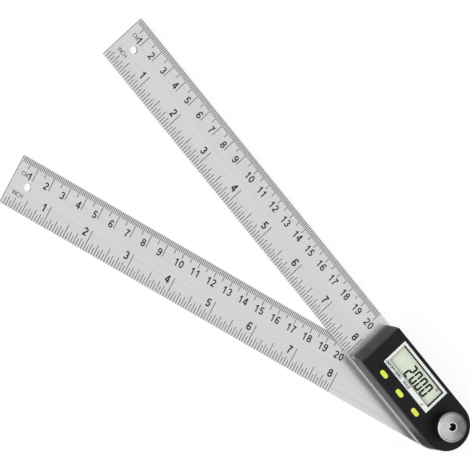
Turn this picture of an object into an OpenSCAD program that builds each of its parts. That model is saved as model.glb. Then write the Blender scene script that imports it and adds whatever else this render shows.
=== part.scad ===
// Digital angle finder: two straight steel arms on one pivot, with a display
// housing and a lock knob on the upper arm. Millimetres. The origin is on the
// pivot axis at the back of the lower arm, +Z points out of the display, and
// the upper arm runs along -X.

/* [Arms] */
// Distance from the pivot axis to the free end of each arm
arm_l = 264; // [200:1:420]
// Width of each arm
blade_w = 27; // [26.5:0.5:34]
// Thickness of each arm
blade_t = 1.5; // [1.2:0.1:2.5]
// Angle between the arms as drawn, in degrees
arm_open = 20; // [12:1:180]
// Diameter of the hanging hole
hang_hole_d = 4; // [3:0.1:6]
// Distance from the hanging hole's centre to the free end
hang_hole_inset = 9.4; // [6:0.1:14]

/* [Housing] */
// Width of the display housing
case_w = 26; // [25.6:0.2:26.4]
// Height of the display housing above the upper arm
case_h = 13; // [12.4:0.2:20]
// Distance from the window's far end to the foot of the square end wall
case_end_margin = 11.1; // [10.4:0.1:30]
// How far the square end wall leans in from foot to top
case_lean = 2.4; // [1:0.1:3]
// Radius of the two upright corners at the foot of the square end
case_corner_r = 3; // [0.5:0.1:3.2]
// Thickness of the side walls
case_wall = 1.5; // [1.2:0.05:1.6]
// Thickness of the top wall
case_roof = 1.6; // [1.4:0.1:2]

/* [Display] */
// Distance from the pivot axis to the window's near end
window_start = 14.1; // [14:0.1:15]
// Distance of the window's middle from the centre line, away from the buttons
window_y = 4.05; // [3.9:0.05:4.1]
// Length of the window
window_l = 32.8; // [28:0.1:40]
// Width of the window
window_w = 11.3; // [9:0.1:11.4]
// Width of the white frame beside the window, at both ends and on the far side
frame_rim = 1.4; // [1:0.05:1.7]
// Width of the white frame on the button side, which carries the labels
frame_band = 2.7; // [1.5:0.1:3]
// Thickness of the white frame
frame_t = 0.5; // [0.4:0.05:0.8]
// How far the white frame stands above the housing's face
frame_proud = 0.1; // [0.05:0.05:0.2]
// Thickness of the clear lens
lens_t = 0.6; // [0.4:0.05:0.8]
// Overlap of the lens beyond the window on each side
lens_lap = 0.6; // [0.4:0.05:0.8]
// Depth of the display glass below the housing's face
display_depth = 2.2; // [2.1:0.1:3]
// Thickness of the display glass
display_t = 2; // [1.4:0.1:2.4]
// Overlap of the display glass beyond the window on each side
display_lap = 1.1; // [0.9:0.05:1.2]

/* [Boards] */
// Thickness of both circuit boards
board_t = 1; // [0.8:0.1:1.6]
// Height of the rubber contact strips between board and display glass
strip_h = 1.9; // [1.7:0.1:2.4]
// Width of a rubber contact strip
strip_w = 1.6; // [1:0.1:2]
// Wall of the carrier that holds the strips and the glass
carrier_wall = 0.9; // [0.6:0.05:1]
// Side of the processor chip
chip_side = 7; // [5:0.5:7.4]
// Height of the processor chip
chip_h = 1; // [0.6:0.1:1.4]
// Diameter of a board screw
board_screw_d = 1.6; // [1.4:0.1:2]
// Diameter of the posts that take the board screws
board_post_d = 3.2; // [2.8:0.1:3.6]
// Distance of the inner end of the main board from the pivot axis
board_start = 13; // [12.8:0.1:14]

/* [Buttons] */
// Distance from the window's near end to the middle of the nearest button
button_near_inset = 2.95; // [2.7:0.05:3.5]
// Distance from the middle of the farthest button to the window's far end
button_far_inset = 3.75; // [3.6:0.05:5]
// Distance of the buttons from the centre line
button_y = 8.45; // [8.3:0.05:8.6]
// Length of a button
button_l = 5.1; // [4.7:0.1:5.6]
// Width of a button
button_w = 2.5; // [2.3:0.1:3]
// How far a button stands above the housing's face
button_proud = 0.5; // [0.4:0.1:1.2]
// Travel of a button
button_travel = 0.35; // [0.2:0.05:0.5]
// Side of the square switch under a button
switch_side = 4.5; // [4:0.1:4.8]
// Height of a switch's case
switch_h = 1.5; // [1.4:0.1:2]
// Diameter of a switch's plunger
plunger_d = 2.4; // [1.8:0.1:2.6]

/* [Battery] */
// Diameter of the coin cell
battery_d = 20; // [19:0.1:20.1]
// Thickness of the coin cell
battery_t = 3.2; // [2:0.1:3.4]
// Distance from the window's middle to the battery's middle, away from the pivot
battery_shift = 5.5; // [5:0.1:6.5]
// Thickness of the cap's floor above the arm's top face
cap_floor = 0.8; // [0.6:0.1:1]
// Width of the coin slot
coin_slot_w = 1.6; // [1:0.1:2.4]
// Length of the coin slot
coin_slot_l = 13; // [8:0.5:16]
// Depth of the coin slot
coin_slot_t = 0.9; // [0.5:0.1:1.2]
// Turn from locked to released, in degrees
cap_turn = 40; // [30:1:45]

/* [Pivot] */
// Diameter of the stud's head
stud_head_d = 14; // [12:0.5:16]
// Thickness of the stud's head
stud_head_t = 0.7; // [0.5:0.1:0.9]
// Diameter of the stud's main journal
journal_d = 8; // [7.6:0.1:9]
// Diameter of the stud's upper journal
upper_journal_d = 5.4; // [5:0.1:5.8]
// Diameter of the stud's threaded end
thread_d = 3.9; // [3.5:0.1:4]
// Thickness of the washer between the arms
thrust_washer_t = 0.3; // [0.2:0.05:0.6]
// Diameter of the washer between the arms
thrust_washer_d = 20; // [14:0.5:24]
// Diameter of the lower bush's flange
bush_flange_d = 15; // [13:0.5:16]
// Thickness of the lower bush's flange
bush_flange_t = 0.8; // [0.5:0.1:1]
// Wall of both bushes
bush_wall = 1.5; // [1:0.1:1.6]
// Diameter of the sensor's turning disc
rotor_d = 20.4; // [16:0.1:20.6]
// Thickness of the sensor's turning disc
rotor_t = 1; // [0.8:0.1:1.2]
// Air gap between the turning disc and the sensor board
sensor_gap = 0.3; // [0.2:0.05:0.5]

/* [Lock knob] */
// Diameter of the knob
knob_d = 15.7; // [15:0.1:19]
// Height of the knob
knob_h = 6.7; // [6:0.1:10]
// Thickness of the knob's metal face
knob_face_t = 1.2; // [1:0.1:2]
// Bevel round the knob's metal face
knob_bevel = 0.5; // [0.2:0.05:0.8]
// How far the knurled grip lies inside the metal face
grip_inset = 0.25; // [0.15:0.05:0.8]
// Depth of the knurl
knurl_depth = 0.35; // [0.2:0.05:0.6]
// Number of ridges in the knurl
knurl_count = 48; // [24:1:60]
// Diameter of the keyed washer under the knob
key_washer_d = 13; // [10:0.5:14]
// Thickness of the keyed washer
key_washer_t = 0.7; // [0.5:0.1:1]

/* [Fasteners] */
// Diameter of the four housing screws
case_screw_d = 2; // [1.8:0.1:2.2]
// Head diameter of the housing screws
case_screw_head_d = 3.8; // [3.4:0.1:4]
// Length of the housing screws
case_screw_l = 7; // [5:0.5:8]
// Diameter of the bosses that take the housing screws
boss_d = 4.2; // [3.8:0.1:4.2]
// Distance from the square end's foot to the outer housing screws
outer_screw_inset = 7.5; // [7.2:0.1:7.6]
// Distance from the pivot axis to the inner housing screws
inner_screw_x = 10.2; // [10:0.1:10.6]

/* [Hidden] */
$fn = 96;

// Clearances: a turning or sliding fit, a seated fit, and a free gap
fit_run = 0.05;
fit_seat = 0.04;
fit_free = 0.3;
// Overlap that lets one cut or one joined shape run into the next
over = 0.2;

// Levels above the back of the lower arm
z_upper = blade_t + thrust_washer_t;
z_case = z_upper + blade_t;
z_face = z_case + case_h;
z_roof = z_face - case_roof;
z_glass_top = z_face - display_depth;
z_glass = z_glass_top - display_t;
z_board_top = z_glass - strip_h;
z_board = z_board_top - board_t;
z_battery = z_case + cap_floor;
z_battery_top = z_battery + battery_t;
z_frame = z_face + frame_proud - frame_t;
z_lens = z_frame - lens_t;

// Lengths along the arm, from the pivot axis
window_x = window_start + window_l / 2;
case_end = window_start + window_l + case_end_margin;
battery_x = window_x + battery_shift;

// Housing: half width, inner half width and the bosses
case_r = case_w / 2;
case_in_r = case_r - case_wall;
boss_y = case_r - 1.1 - boss_d / 2;
boss_at = [
  [-(case_end - outer_screw_inset), boss_y],
  [-(case_end - outer_screw_inset), -boss_y],
  [-inner_screw_x, boss_y],
  [-inner_screw_x, -boss_y]
];
screw_cone_h = (case_screw_head_d - case_screw_d) / 2;

// Display: middle of the window, and the glass, carrier and frame round it
window_mid = [-window_x, window_y];
glass_l = window_l + 2 * display_lap;
glass_w = window_w + 2 * display_lap + 0.4;
frame_l = window_l + 2 * frame_rim;
frame_w = window_w + frame_rim + frame_band;
frame_mid = [-window_x, window_y + (frame_rim - frame_band) / 2];

// Buttons
button_first = window_start + button_near_inset;
button_pitch = (window_l - button_near_inset - button_far_inset) / 2;
button_at = [for (i = [2, 1, 0]) [-(button_first + i * button_pitch), -button_y]];
button_flange = 0.6;
button_flange_t = 0.7;
button_gap = 0.25;
plunger_proud = button_travel + 0.15;
z_switch_top = z_board_top + switch_h;
z_plunger_top = z_switch_top + plunger_proud;
plunger_in = 0.7;
switch_floor = 0.2;
dome_t = 0.1;

// Battery contacts
contact_t = 0.2;
contact_w = 4;
contact_pad = 3;
contact_leaf = 5;

// Main board and its posts, between the buttons and at the square end
board_screw_head_r = 1.4;
board_screw_head_h = 0.8;
board_end = case_end - case_wall - case_lean - 0.5;
board_r = case_in_r - fit_free;
board_post_r = board_post_d / 2;
board_screw_r = board_screw_d / 2;
post_y = -(button_y + 0.85);
post_at = [
  [-(button_first + 0.5 * button_pitch), post_y],
  [-(button_first + 1.5 * button_pitch), post_y],
  [-(window_x + glass_l / 2 + board_post_r + 1.4), contact_w / 2 + board_screw_head_r + 0.4]
];
board_screw_in = 3;

// Sensor at the pivot
journal_r = journal_d / 2;
upper_journal_r = upper_journal_d / 2;
z_rotor = z_case + bush_flange_t + 0.4;
z_rotor_top = z_rotor + rotor_t;
z_sensor = z_rotor_top + sensor_gap;
z_sensor_top = z_sensor + board_t;
rotor_seat_r = upper_journal_r + 0.7;
rotor_seat_flat = upper_journal_r + 0.1;
clip_r = rotor_seat_r + 1.9;
clip_t = 0.4;
sensor_hole_r = clip_r + 0.6;
sensor_r = case_in_r - fit_free;
sensor_ring_in = rotor_d / 2 + 0.35;
sensor_tail_x = 21.5;
sensor_tail_y = boss_y - boss_d / 2 - 0.4;
tube_in_r = sensor_hole_r + 0.6;
tube_r = tube_in_r + 1.2;

// Base plate inside the housing
base_t = 1;
base_r = case_in_r - 0.2;
base_end = case_end - case_wall - 0.6;
z_base_top = z_case + base_t;

// Battery cap and its bayonet
battery_r = battery_d / 2;
cap_neck_in = battery_r + 0.15;
cap_neck_r = cap_neck_in + 0.7;
cap_flange_r = cap_neck_r + 0.45;
cap_lug_r = cap_neck_r + 0.85;
cap_lug_w = 4;
cap_lug_h = 0.75;
z_lug = z_base_top + 0.15;
cap_hole_r = cap_flange_r + 0.1;
cap_ledge_r = cap_neck_r + 0.1;

// Upper end of the stud, and the knob on it
thread_r = thread_d / 2;
key_flat = thread_r + 0.15;
stud_neck_r = journal_r + 0.1;
stud_neck_flat = journal_r - 0.6;
top_bush_r = upper_journal_r + fit_run + bush_wall;
top_bush_flange_r = top_bush_r + 1.6;
top_bush_flange_t = 0.3;
top_bush_in = 3.1;
z_key_washer = z_face + top_bush_flange_t;
z_knob = z_key_washer + key_washer_t;
z_knob_face = z_knob + knob_h - knob_face_t;
z_knob_top = z_knob + knob_h;
z_thread = z_knob + 0.7;
stud_end_below = 3;
knob_r = knob_d / 2;
knob_bore_r = thread_r + fit_run;
knob_hub_r = upper_journal_r + 1.6;
grip_r = knob_r - grip_inset;

// ---------- shared shapes ----------

// A disc with two flats
module double_d(r, flat) {
  intersection() {
    circle(r);
    square([2 * r + over, 2 * flat], center = true);
  }
}

// A slot shape with round ends, length l and width w over all
module obround(l, w) {
  square([l - w, w], center = true);
  for (side = [-1, 1]) translate([side * (l - w) / 2, 0]) circle(w / 2);
}

// Outline of an arm that runs along -X from its round pivot end
module blade_outline() {
  circle(d = blade_w);
  translate([-arm_l, -blade_w / 2]) square([arm_l, blade_w]);
}

// The hanging hole near an arm's free end
module hang_hole() {
  translate([-(arm_l - hang_hole_inset), 0]) circle(d = hang_hole_d);
}

// Outline of the housing: round at the pivot, square at the other end
module case_outline(r, end, corner) {
  circle(r);
  translate([-end + corner, -r]) square([end - corner, 2 * r]);
  translate([-end, -r + corner]) square([corner + over, 2 * (r - corner)]);
  for (side = [-1, 1]) translate([-end + corner, side * (r - corner)]) circle(corner);
}

// A block on the housing's outline whose square end leans in as it rises
module leaning_block(r, end, corner, z_low, z_high) {
  function end_at(z) = end - case_lean * (z - z_case) / case_h;
  intersection() {
    translate([0, 0, z_low]) linear_extrude(z_high - z_low) case_outline(r, end, corner);
    rotate([90, 0, 0])
      linear_extrude(4 * r, center = true)
        polygon([
          [-end_at(z_low), z_low], [r + 1, z_low],
          [r + 1, z_high], [-end_at(z_high), z_high]
        ]);
  }
}

// A washer or tube standing at level z
module ring(r_out, r_in, z, h) {
  translate([0, 0, z])
    linear_extrude(h)
      difference() {
        circle(r_out);
        circle(r_in);
      }
}

// A plate with its middle at a point, standing at level z
module plate(mid, l, w, z, h) {
  translate([mid.x, mid.y, z])
    linear_extrude(h) square([l, w], center = true);
}

// Places what follows on the battery's axis
module at_battery(z = 0) {
  translate([-battery_x, 0, z]) children();
}

// The two bayonet lugs, or with a margin the gates that let them through
module cap_lugs(margin, h) {
  linear_extrude(h)
    intersection() {
      circle(cap_lug_r + margin);
      square([3 * cap_lug_r, cap_lug_w + 2 * margin], center = true);
    }
}

// ---------- arms ----------

// Lower arm: a stainless steel strip with a keyed hole for the stud
module lower_blade() {
  color([0.84, 0.84, 0.84])
    rotate([0, 0, arm_open])
      difference() {
        linear_extrude(blade_t)
          difference() {
            blade_outline();
            hang_hole();
            double_d(stud_neck_r + fit_seat, stud_neck_flat + fit_seat);
          }
        translate([0, 0, -over])
          cylinder(h = stud_head_t + over, d = stud_head_d + 2 * fit_seat);
      }
}

// Upper arm: the same strip with holes for the bush, the battery cap and
// four countersunk screws
module upper_blade() {
  color([0.84, 0.84, 0.84])
    difference() {
      translate([0, 0, z_upper])
        linear_extrude(blade_t)
          difference() {
            blade_outline();
            hang_hole();
            circle(journal_r + fit_run + bush_wall + fit_seat);
            translate([-battery_x, 0]) circle(cap_hole_r);
          }
      for (p = boss_at) translate([p.x, p.y, 0]) case_screw_space();
    }
}

// Space of one housing screw in the arm: a countersink and a clearance hole
module case_screw_space() {
  head_r = case_screw_head_d / 2 + fit_seat;
  shank_r = case_screw_d / 2 + fit_seat;
  translate([0, 0, z_upper - over])
    cylinder(h = blade_t + 2 * over, r = shank_r);
  translate([0, 0, z_upper])
    cylinder(h = screw_cone_h, r1 = head_r, r2 = shank_r);
  translate([0, 0, z_upper - over])
    cylinder(h = over, r = head_r);
}

// ---------- pivot ----------

// Stud: riveted flush into the lower arm; it turns the sensor's disc and
// ends in the thread that the lock knob screws on to
module pivot_stud() {
  color([0.7, 0.71, 0.72])
    rotate([0, 0, arm_open]) {
      cylinder(h = stud_head_t, d = stud_head_d);
      translate([0, 0, stud_head_t])
        linear_extrude(blade_t - stud_head_t) double_d(stud_neck_r, stud_neck_flat);
      translate([0, 0, blade_t])
        cylinder(h = z_rotor - blade_t, r = journal_r);
      translate([0, 0, z_rotor])
        linear_extrude(rotor_t + clip_t + 0.2) double_d(rotor_seat_r, rotor_seat_flat);
      translate([0, 0, z_rotor])
        cylinder(h = z_face - z_rotor, r = upper_journal_r);
      translate([0, 0, z_face])
        linear_extrude(z_thread - z_face) double_d(upper_journal_r, key_flat);
      translate([0, 0, z_thread])
        cylinder(h = z_knob_top - stud_end_below - z_thread - thread_r / 2, r = thread_r);
      translate([0, 0, z_knob_top - stud_end_below - thread_r / 2]) stud_end();
    }
}

// Rounded end of the stud
module stud_end() {
  dome_h = thread_r / 2;
  dome_r = (thread_r * thread_r + dome_h * dome_h) / (2 * dome_h);
  rotate_extrude()
    intersection() {
      translate([0, dome_h - dome_r]) circle(dome_r);
      square([thread_r, dome_h]);
    }
}

// Slippery washer that keeps the two arms apart
module thrust_washer() {
  color([0.92, 0.9, 0.84])
    ring(thrust_washer_d / 2, journal_r + 0.3, blade_t, thrust_washer_t);
}

// Lower bush: lines the upper arm's hole, with its flange inside the housing
module pivot_bush() {
  color([0.72, 0.55, 0.28]) {
    ring(journal_r + fit_run + bush_wall, journal_r + fit_run, z_upper, blade_t);
    ring(bush_flange_d / 2, journal_r + fit_run, z_case, bush_flange_t);
  }
}

// Upper bush: lines the hole in the housing's top wall, under the knob
module top_bush() {
  bore_r = upper_journal_r + fit_run;
  color([0.72, 0.55, 0.28]) {
    ring(top_bush_r, bore_r, z_face - top_bush_in, top_bush_in);
    ring(top_bush_flange_r, bore_r, z_face, top_bush_flange_t);
  }
}

// ---------- housing ----------

// Housing: a moulded cover with its bosses, posts and the tube that presses
// the sensor board down
module housing() {
  color([0.14, 0.14, 0.15])
    difference() {
      union() {
        difference() {
          leaning_block(case_r, case_end, case_corner_r, z_case, z_face);
          leaning_block(case_in_r, case_end - case_wall, case_corner_r / 2, z_case - 0.001, z_roof);
        }
        housing_bosses();
        plate(window_mid, glass_l, glass_w, z_glass_top, z_roof + over - z_glass_top);
        translate([0, 0, z_sensor_top])
          cylinder(h = z_roof + over - z_sensor_top, r = tube_r);
      }
      display_space();
      for (p = button_at)
        translate([p.x, p.y, z_roof - over])
          linear_extrude(case_roof + 2 * over)
            obround(button_l + 2 * button_gap, button_w + 2 * button_gap);
      for (p = boss_at)
        translate([p.x, p.y, z_case - over])
          cylinder(h = case_screw_l + over, r = case_screw_d / 2 + fit_seat);
      for (p = post_at)
        translate([p.x, p.y, z_board_top - over])
          cylinder(h = board_screw_in + over, r = board_screw_r + fit_seat);
      translate([0, 0, z_sensor_top - over])
        cylinder(h = z_face - top_bush_in - z_sensor_top + over, r = tube_in_r);
      cylinder(h = z_face + over, r = top_bush_r + fit_seat);
    }
}

// Screw bosses down to the arm, and posts down to the main board
module housing_bosses() {
  for (p = boss_at)
    translate([p.x, p.y, z_case])
      cylinder(h = z_roof + over - z_case, d = boss_d);
  for (p = post_at)
    translate([p.x, p.y, z_board_top])
      cylinder(h = z_roof + over - z_board_top, r = board_post_r);
}

// Space for the frame, the lens and the window through the top wall
module display_space() {
  plate(window_mid, window_l, window_w, z_glass_top - over, display_depth + 2 * over);
  plate(window_mid, window_l + 2 * (lens_lap + fit_seat), window_w + 2 * (lens_lap + fit_seat),
        z_lens, z_face - z_lens + over);
  plate(frame_mid, frame_l + 2 * fit_seat, frame_w + 2 * fit_seat, z_frame, z_face - z_frame + over);
}

// Base plate: a moulded floor on the arm, with the battery cap's bayonet
// ledge and the ring that the sensor board rests on
module base_plate() {
  color([0.2, 0.2, 0.21])
    difference() {
      union() {
        translate([0, 0, z_case])
          linear_extrude(base_t)
            case_outline(base_r, base_end, case_corner_r / 2);
        translate([0, 0, z_case])
          cylinder(h = z_sensor - z_case, r = base_r);
      }
      translate([0, 0, z_case - over])
        cylinder(h = z_sensor - z_case + 2 * over, r = sensor_ring_in);
      for (p = boss_at)
        translate([p.x, p.y, z_case - over])
          cylinder(h = z_sensor - z_case + 2 * over, r = boss_d / 2 + 0.25);
      at_battery(z_case - over) {
        cylinder(h = base_t + 2 * over, r = cap_ledge_r);
        rotate([0, 0, -cap_turn]) cap_lugs(0.15, base_t + 2 * over);
      }
    }
}

// ---------- display ----------

// White frame set into the housing's face, wider on the button side
module display_frame() {
  color([0.93, 0.93, 0.94])
    difference() {
      plate(frame_mid, frame_l, frame_w, z_frame, frame_t);
      plate(window_mid, window_l, window_w, z_frame - over, frame_t + 2 * over);
    }
}

// Clear lens under the frame
module display_lens() {
  color([0.9, 0.95, 0.95, 0.3])
    plate(window_mid, window_l + 2 * lens_lap, window_w + 2 * lens_lap, z_lens, lens_t);
}

// Liquid crystal glass under the window
module display_glass() {
  color([0.82, 0.87, 0.78])
    plate(window_mid, glass_l, glass_w, z_glass, display_t);
}

// Open carrier between the main board and the glass
module display_carrier() {
  color([0.85, 0.85, 0.83])
    difference() {
      plate(window_mid, glass_l, glass_w, z_board_top, strip_h);
      plate(window_mid, glass_l - 2 * carrier_wall, glass_w - 2 * carrier_wall,
            z_board_top - over, strip_h + 2 * over);
    }
}

// Two rubber strips that carry the signals from board to glass
module contact_strips() {
  strip_y = glass_w / 2 - carrier_wall - strip_w / 2;
  color([0.85, 0.45, 0.5])
    for (side = [-1, 1])
      plate([window_mid.x, window_mid.y + side * strip_y],
            glass_l - 2 * carrier_wall - 0.6, strip_w, z_board_top, strip_h);
}

// ---------- electronics ----------

// Main board: under the display and the buttons, screwed up to the posts
module main_board() {
  color([0.05, 0.35, 0.2])
    difference() {
      translate([0, 0, z_board])
        linear_extrude(board_t)
          difference() {
            translate([-board_end, -board_r]) square([board_end - board_start, 2 * board_r]);
            for (p = boss_at) translate(p) circle(boss_d / 2 + fit_free);
            for (p = post_at) translate(p) circle(board_screw_r + fit_seat);
          }
    }
}

// Processor on the main board, under the glass
module processor_chip() {
  color([0.08, 0.08, 0.08])
    plate(window_mid, chip_side, chip_side, z_board_top, chip_h);
}

// Small surface parts on both sides of the processor
module board_parts() {
  color([0.6, 0.5, 0.35])
    for (side = [-1, 1], i = [0 : 2], row = [-1, 1])
      plate([window_mid.x + side * (chip_side / 2 + 1.6 + 2.4 * i), window_mid.y + row * 2.2],
            1, 2, z_board_top, 0.6);
}

// Sensor board: a ring above the turning disc, with a tail to the main board
module sensor_board() {
  color([0.05, 0.35, 0.2])
    translate([0, 0, z_sensor])
      linear_extrude(board_t)
        difference() {
          union() {
            circle(sensor_r);
            translate([-sensor_tail_x, -sensor_tail_y]) square([sensor_tail_x, 2 * sensor_tail_y]);
          }
          circle(sensor_hole_r);
          for (p = boss_at) translate(p) circle(boss_d / 2 + 0.25);
        }
}

// Pin strip that joins the sensor board to the main board
module board_link() {
  mid_x = (board_start + sensor_tail_x) / 2;
  pin_pitch = 1.6;
  pins = 6;
  pin_side = 0.5;
  color([0.1, 0.1, 0.1])
    difference() {
      plate([-mid_x, 0], 2, pins * pin_pitch, z_sensor_top, z_board - z_sensor_top);
      for (i = [0 : pins])
        plate([-mid_x, (i - pins / 2) * pin_pitch], 3, pin_side, z_sensor_top - over, over + 0.3);
    }
}

// Turning disc of the angle sensor, keyed on the stud
module sensor_rotor() {
  color([0.75, 0.6, 0.25])
    rotate([0, 0, arm_open])
      translate([0, 0, z_rotor])
        linear_extrude(rotor_t)
          difference() {
            circle(d = rotor_d);
            double_d(rotor_seat_r + fit_seat, rotor_seat_flat + fit_seat);
          }
}

// Push-on ring that holds the turning disc down on the stud
module rotor_clip() {
  color([0.6, 0.6, 0.62])
    ring(clip_r, rotor_seat_r + fit_seat, z_rotor_top, clip_t);
}

// ---------- buttons and switches ----------

// One button: a cap in the housing's face, a flange that stops it under the
// top wall, and a stem on the switch's plunger
module button(p) {
  color([0.88, 0.91, 0.2])
    translate([p.x, p.y, 0]) {
      translate([0, 0, z_roof])
        linear_extrude(case_roof + button_proud) obround(button_l, button_w);
      translate([0, 0, z_roof - button_flange_t])
        linear_extrude(button_flange_t)
          obround(button_l + 2 * button_flange, button_w + 2 * button_flange);
      translate([0, 0, z_plunger_top])
        cylinder(h = z_roof - z_plunger_top, r = plunger_d / 2 + 0.2);
    }
}

module on_off_button() {
  button(button_at[0]);
}

module hold_button() {
  button(button_at[1]);
}

module mode_button() {
  button(button_at[2]);
}

// One plunger, which slides in its switch under the button
module plunger(p) {
  z_low = z_switch_top - plunger_in;
  color([0.1, 0.1, 0.1])
    translate([p.x, p.y, z_low])
      cylinder(h = z_plunger_top - z_low, d = plunger_d);
}

module on_off_plunger() {
  plunger(button_at[0]);
}

module hold_plunger() {
  plunger(button_at[1]);
}

module mode_plunger() {
  plunger(button_at[2]);
}

// The three switch cases on the main board, each with a well for its plunger
module switch_cases() {
  color([0.75, 0.75, 0.75])
    for (p = button_at)
      difference() {
        plate(p, switch_side, switch_side, z_board_top, switch_h);
        translate([p.x, p.y, z_board_top + switch_floor])
          cylinder(h = switch_h, r = plunger_d / 2 + fit_run);
      }
}

// The three contact domes, drawn pressed flat on the floors of the wells
module switch_domes() {
  color([0.8, 0.8, 0.78])
    for (p = button_at)
      translate([p.x, p.y, z_board_top + switch_floor])
        cylinder(h = dome_t, d = plunger_d - 0.3);
}

// ---------- battery ----------

// Coin cell: wide shell below, narrower top above
module battery() {
  top_step = 0.3;
  color([0.8, 0.8, 0.8])
    at_battery(z_battery) {
      cylinder(h = battery_t - top_step, r = battery_r);
      translate([0, 0, battery_t - top_step]) cylinder(h = top_step, r = battery_r - 1.1);
    }
}

// Leaf from the main board down to the top of the cell
module battery_minus_contact() {
  drop = z_board - z_battery_top;
  color([0.8, 0.7, 0.4])
    at_battery(z_battery_top)
      rotate([90, 0, 0])
        linear_extrude(contact_w, center = true)
          polygon([
            [-contact_pad, 0], [0, 0],
            [contact_leaf, drop - contact_t], [contact_leaf + contact_pad, drop - contact_t],
            [contact_leaf + contact_pad, drop], [contact_leaf - contact_t / 2, drop],
            [-contact_t / 2, contact_t], [-contact_pad, contact_t]
          ]);
}

// Strip from the main board down past the rim of the cell
module battery_plus_contact() {
  x_in = -(battery_r + 0.1);
  x_out = x_in - contact_t;
  z_low = z_lug + cap_lug_h + 0.25;
  color([0.8, 0.7, 0.4])
    at_battery()
      rotate([90, 0, 0])
        linear_extrude(contact_w, center = true)
          polygon([
            [x_out, z_low], [x_in, z_low], [x_in, z_board],
            [x_out - contact_pad, z_board], [x_out - contact_pad, z_board - contact_t],
            [x_out, z_board - contact_t]
          ]);
}

// Battery cap: flush in the upper arm, held by two lugs, with a coin slot
module battery_cap() {
  color([0.14, 0.14, 0.15])
    difference() {
      union() {
        at_battery(z_upper) cylinder(h = blade_t, r = cap_flange_r);
        at_battery(z_case) cylinder(h = z_lug + cap_lug_h - z_case, r = cap_neck_r);
        at_battery(z_lug) cap_lugs(0, cap_lug_h);
      }
      at_battery(z_battery) cylinder(h = battery_t, r = cap_neck_in);
      at_battery(z_upper - over)
        linear_extrude(coin_slot_t + over)
          square([coin_slot_w, coin_slot_l], center = true);
    }
}

// ---------- lock knob ----------

// Keyed washer: slides on the stud's flats, so that the knob can't drag the arm
module key_washer() {
  color([0.72, 0.73, 0.74])
    rotate([0, 0, arm_open])
      translate([0, 0, z_key_washer])
        linear_extrude(key_washer_t)
          difference() {
            circle(d = key_washer_d);
            double_d(upper_journal_r + fit_run, key_flat + fit_run);
          }
}

// Knurled black grip under the knob's metal face
module knob_grip() {
  step = 360 / knurl_count;
  color([0.08, 0.08, 0.09])
    translate([0, 0, z_knob])
      linear_extrude(knob_h - knob_face_t)
        difference() {
          polygon([
            for (i = [0 : knurl_count - 1], part = [[0.12, 0], [0.38, 0], [0.62, 1], [0.88, 1]])
              let (angle = (i + part[0]) * step, r = grip_r - part[1] * knurl_depth)
                [r * cos(angle), r * sin(angle)]
          ]);
          circle(knob_hub_r + fit_seat);
        }
}

// Turned metal core: the visible face, the hub and the threaded bore
module knob_core() {
  hole_bevel = 0.3;
  pocket_r = upper_journal_r + 0.3;
  pocket_h = z_thread - z_knob + 0.2;
  color([0.7, 0.7, 0.71])
    translate([0, 0, z_knob])
      rotate_extrude()
        polygon([
          [pocket_r, 0], [knob_hub_r, 0],
          [knob_hub_r, knob_h - knob_face_t], [knob_r, knob_h - knob_face_t],
          [knob_r, knob_h - knob_bevel], [knob_r - knob_bevel, knob_h],
          [knob_bore_r + hole_bevel, knob_h], [knob_bore_r, knob_h - hole_bevel],
          [knob_bore_r, pocket_h], [pocket_r, pocket_h]
        ]);
}

// ---------- screws ----------

// Four countersunk screws through the upper arm into the housing's bosses
module case_screws() {
  slot_w = 0.5;
  slot_l = case_screw_head_d * 0.6;
  slot_depth = 0.5;
  color([0.25, 0.25, 0.26])
    for (p = boss_at)
      translate([p.x, p.y, z_upper])
        difference() {
          union() {
            cylinder(h = screw_cone_h, r1 = case_screw_head_d / 2, r2 = case_screw_d / 2);
            cylinder(h = blade_t + case_screw_l - 0.5, d = case_screw_d);
          }
          for (turn = [0, 90])
            rotate([0, 0, turn])
              cube([slot_l, slot_w, 2 * slot_depth], center = true);
        }
}

// Three pan-head screws that hold the main board up to the posts
module board_screws() {
  color([0.6, 0.6, 0.62])
    for (p = post_at)
      translate([p.x, p.y, z_board]) {
        translate([0, 0, -board_screw_head_h])
          cylinder(h = board_screw_head_h, r = board_screw_head_r);
        cylinder(h = board_t + board_screw_in - 0.3, r = board_screw_r);
      }
}

lower_blade();
upper_blade();
pivot_stud();
thrust_washer();
pivot_bush();
housing();
base_plate();
display_frame();
display_lens();
display_glass();
display_carrier();
contact_strips();
main_board();
processor_chip();
board_parts();
sensor_board();
board_link();
sensor_rotor();
rotor_clip();
switch_cases();
switch_domes();
on_off_button();
hold_button();
mode_button();
on_off_plunger();
hold_plunger();
mode_plunger();
battery();
battery_minus_contact();
battery_plus_contact();
battery_cap();
top_bush();
key_washer();
knob_grip();
knob_core();
case_screws();
board_screws();
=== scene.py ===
"""Digital angle finder: two steel arms on one pivot, with a display housing and a lock knob.

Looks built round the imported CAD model, in its frame and in metres. The pivot axis
is Z, the display faces +Z and the upper arm runs along -X. The sections follow the
order in which the tool is put together. Sizes are in millimetres, and mm turns them
into metres; shader effects and the studio are in metres.
"""

import math

import bmesh
import bpy
from mathutils import Matrix, Vector
from mathutils.geometry import delaunay_2d_cdt


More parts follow.
